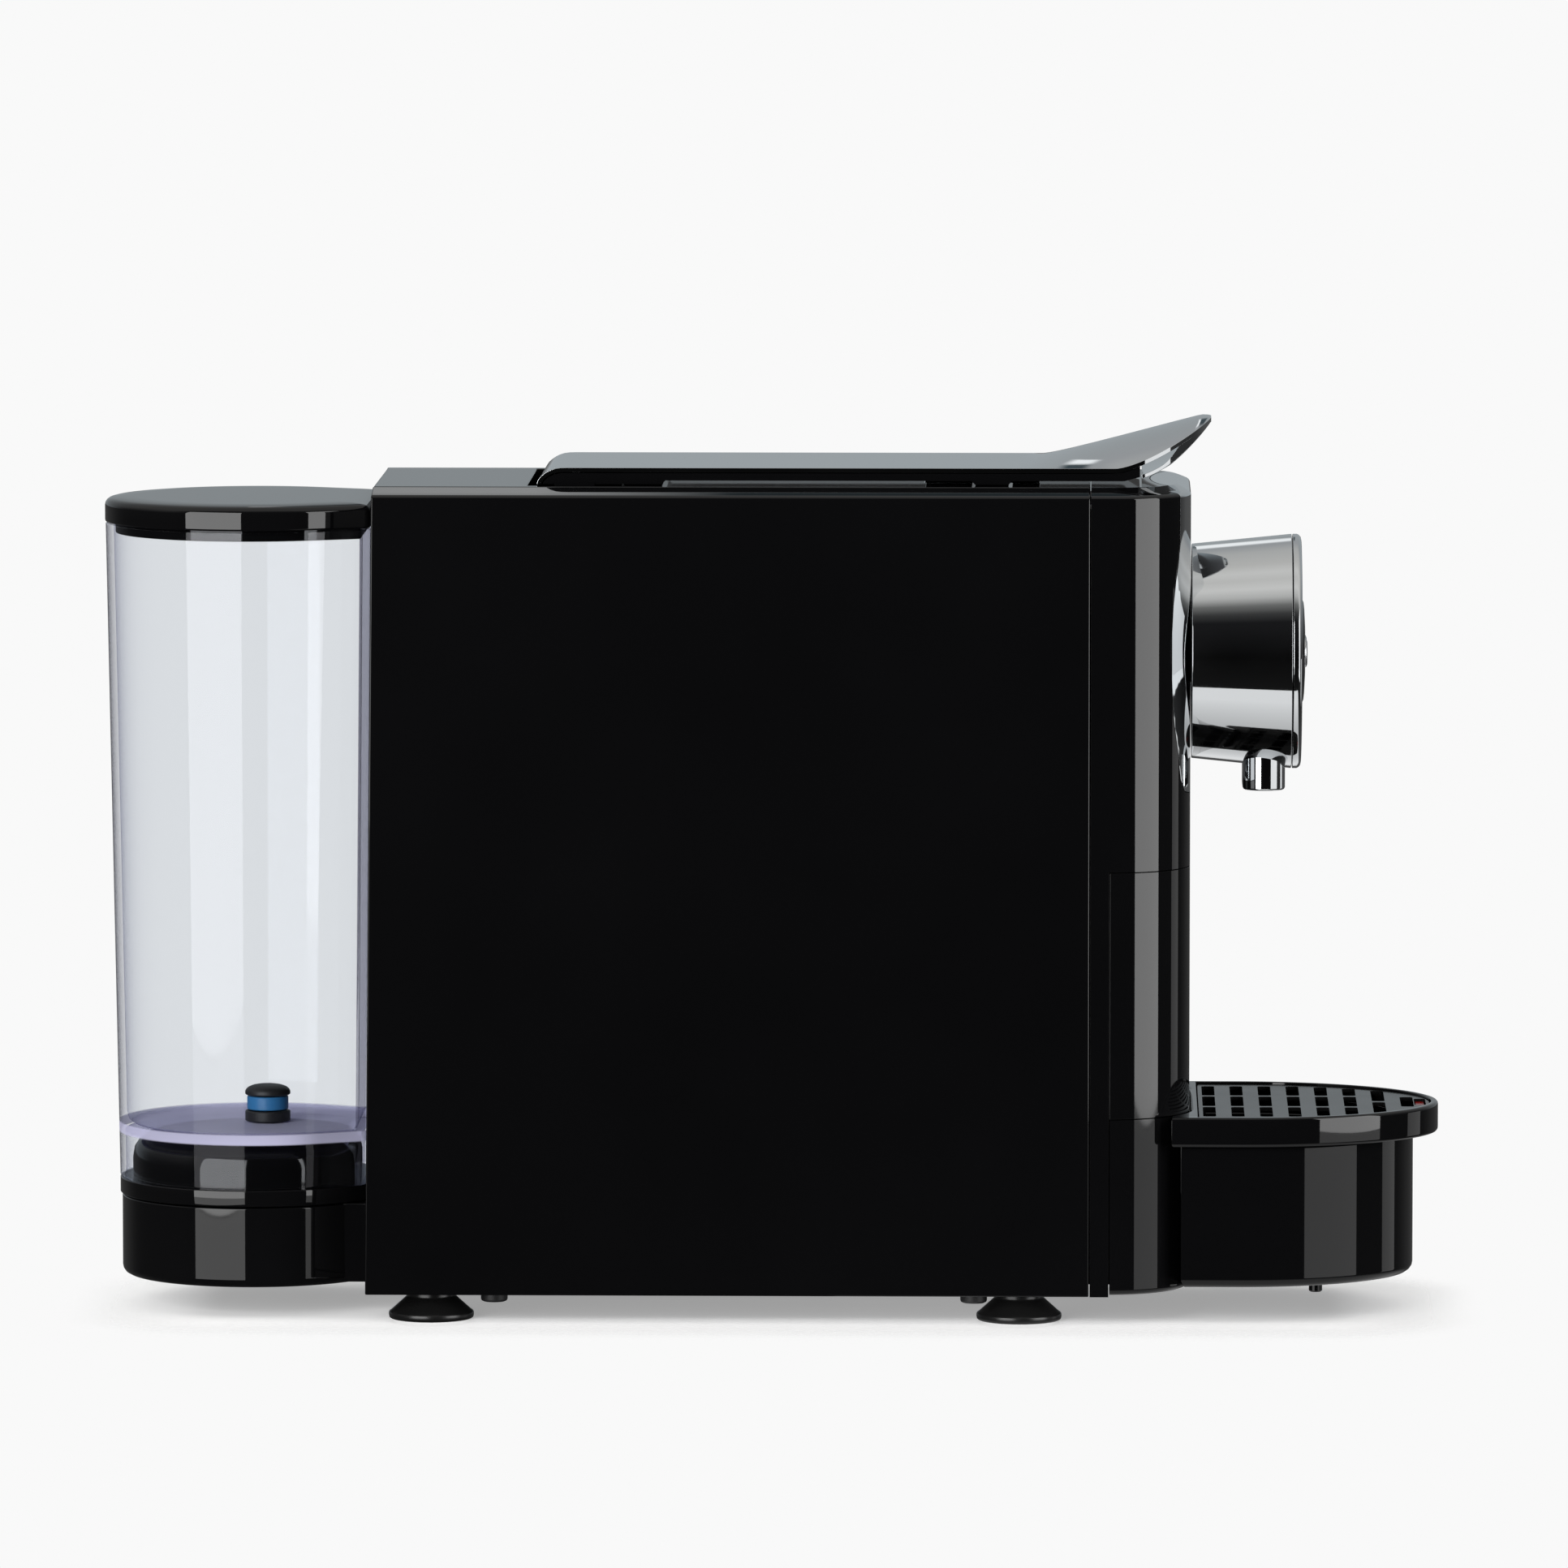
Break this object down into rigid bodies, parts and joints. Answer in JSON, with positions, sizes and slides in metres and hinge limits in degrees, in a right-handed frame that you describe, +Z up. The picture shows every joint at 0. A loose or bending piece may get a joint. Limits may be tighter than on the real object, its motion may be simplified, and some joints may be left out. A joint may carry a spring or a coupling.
{
  "type": "coffee machine",
  "caption": "Slim pod coffee machine with a rear water tank, a top lever, a round brewing head and a pull-out capsule and drip unit.",
  "frame": {"origin": "middle of the footprint, on the surface the machine stands on", "axes": "+X to the front of the machine, +Y to its left side, +Z up"},
  "size_m": [0.4002, 0.1, 0.268],
  "materials": {
    "gloss_black": "high gloss black",
    "matt_black": "smooth black, less glossy than the casing",
    "satin_black": "satin black",
    "chrome": "chrome plated",
    "clear_plastic": "clear",
    "rubber": "matte",
    "steel": "satin",
    "cast_aluminium": "as cast",
    "white_plastic": "moulded",
    "silicone_hose": "smooth silicone",
    "circuit_board": "lacquered board",
    "blue_seal": "smooth",
    "red_float": "glossy red",
    "brass": "turned"
  },
  "bodies": {
    "machine": {"right_side_panel": "gloss_black", "left_side_panel": "gloss_black", "top_cover": "gloss_black", "rear_cover": "satin_black", "base_plate": "satin_black", "front_cover": "gloss_black", "front_trim": "chrome", "head_shell": "chrome", "head_bezel": "chrome", "control_disc": "gloss_black", "spout_nozzle": "chrome", "coffee_duct": "satin_black", "brew_frame": "satin_black", "bulkhead": "satin_black", "brew_cage": "steel", "piercing_needles": "steel", "lever_hinge_pin": "steel", "tank_dock": "gloss_black", "inlet_probe": "brass", "tank_platform": "gloss_black", "power_gland": "rubber", "drawer_rail_right": "satin_black", "drawer_rail_left": "satin_black", "thermoblock": "cast_aluminium", "water_pump": "white_plastic", "pump_mount_rear": "rubber", "pump_mount_front": "rubber", "flow_meter": "white_plastic", "control_board": "circuit_board", "suction_hose": "silicone_hose", "pump_hose": "silicone_hose", "boiler_hose": "silicone_hose", "foot_rear_right": "rubber", "foot_rear_left": "rubber", "foot_front_right": "rubber", "foot_front_left": "rubber", "base_screw_rear_right": "satin_black", "base_screw_rear_left": "satin_black", "base_screw_front_right": "satin_black", "base_screw_front_left": "satin_black"},
    "lever": {"lever_cover": "chrome", "lever_frame": "gloss_black"},
    "carriage": {"extraction_plate": "steel", "brew_carriage": "satin_black", "drive_pin": "steel"},
    "drawer": {"capsule_bin": "gloss_black", "tray_base": "gloss_black"},
    "drip_tray": {"drip_tray": "gloss_black", "tray_rim": "gloss_black"},
    "grid": {"drip_grid": "matt_black"},
    "float": {"overflow_float": "red_float"},
    "tank": {"water_tank": "clear_plastic", "tank_valve_body": "satin_black", "tank_valve_seal": "blue_seal", "tank_valve_cap": "satin_black"},
    "lid": {"tank_lid": "gloss_black"},
    "short_button": {"button_short": "steel"},
    "long_button": {"button_long": "steel"}
  },
  "joints": [
    {"name": "lever_hinge", "type": "hinge", "parent": "machine", "child": "lever", "pos_m": [-0.058, 0, 0.243], "axis": [0, -1, 0], "range_deg": [0, 80]},
    {"name": "extraction_slide", "type": "slide", "parent": "machine", "child": "carriage", "axis": [1, 0, 0], "range_m": [0, 0.031]},
    {"name": "drawer_slide", "type": "slide", "parent": "machine", "child": "drawer", "axis": [1, 0, 0], "range_m": [0, 0.105]},
    {"name": "tray_lift", "type": "slide", "parent": "drawer", "child": "drip_tray", "axis": [0, 0, 1], "range_m": [0, 0.03]},
    {"name": "grid_lift", "type": "slide", "parent": "drip_tray", "child": "grid", "axis": [0, 0, 1], "range_m": [0, 0.03]},
    {"name": "float_rise", "type": "slide", "parent": "drip_tray", "child": "float", "axis": [0, 0, 1], "range_m": [0, 0.0035]},
    {"name": "tank_lift", "type": "slide", "parent": "machine", "child": "tank", "axis": [0, 0, 1], "range_m": [0, 0.235]},
    {"name": "lid_lift", "type": "slide", "parent": "tank", "child": "lid", "axis": [0, 0, 1], "range_m": [0, 0.03]},
    {"name": "short_button_press", "type": "slide", "parent": "machine", "child": "short_button", "axis": [-1, 0, 0], "range_m": [0, 0.0012], "stiffness_N_per_m": 400},
    {"name": "long_button_press", "type": "slide", "parent": "machine", "child": "long_button", "axis": [-1, 0, 0], "range_m": [0, 0.0012], "stiffness_N_per_m": 400}
  ],
  "couplings": [
    {"joint": "extraction_slide", "follows": "lever_hinge", "m_per_rad": 0.022}
  ]
}
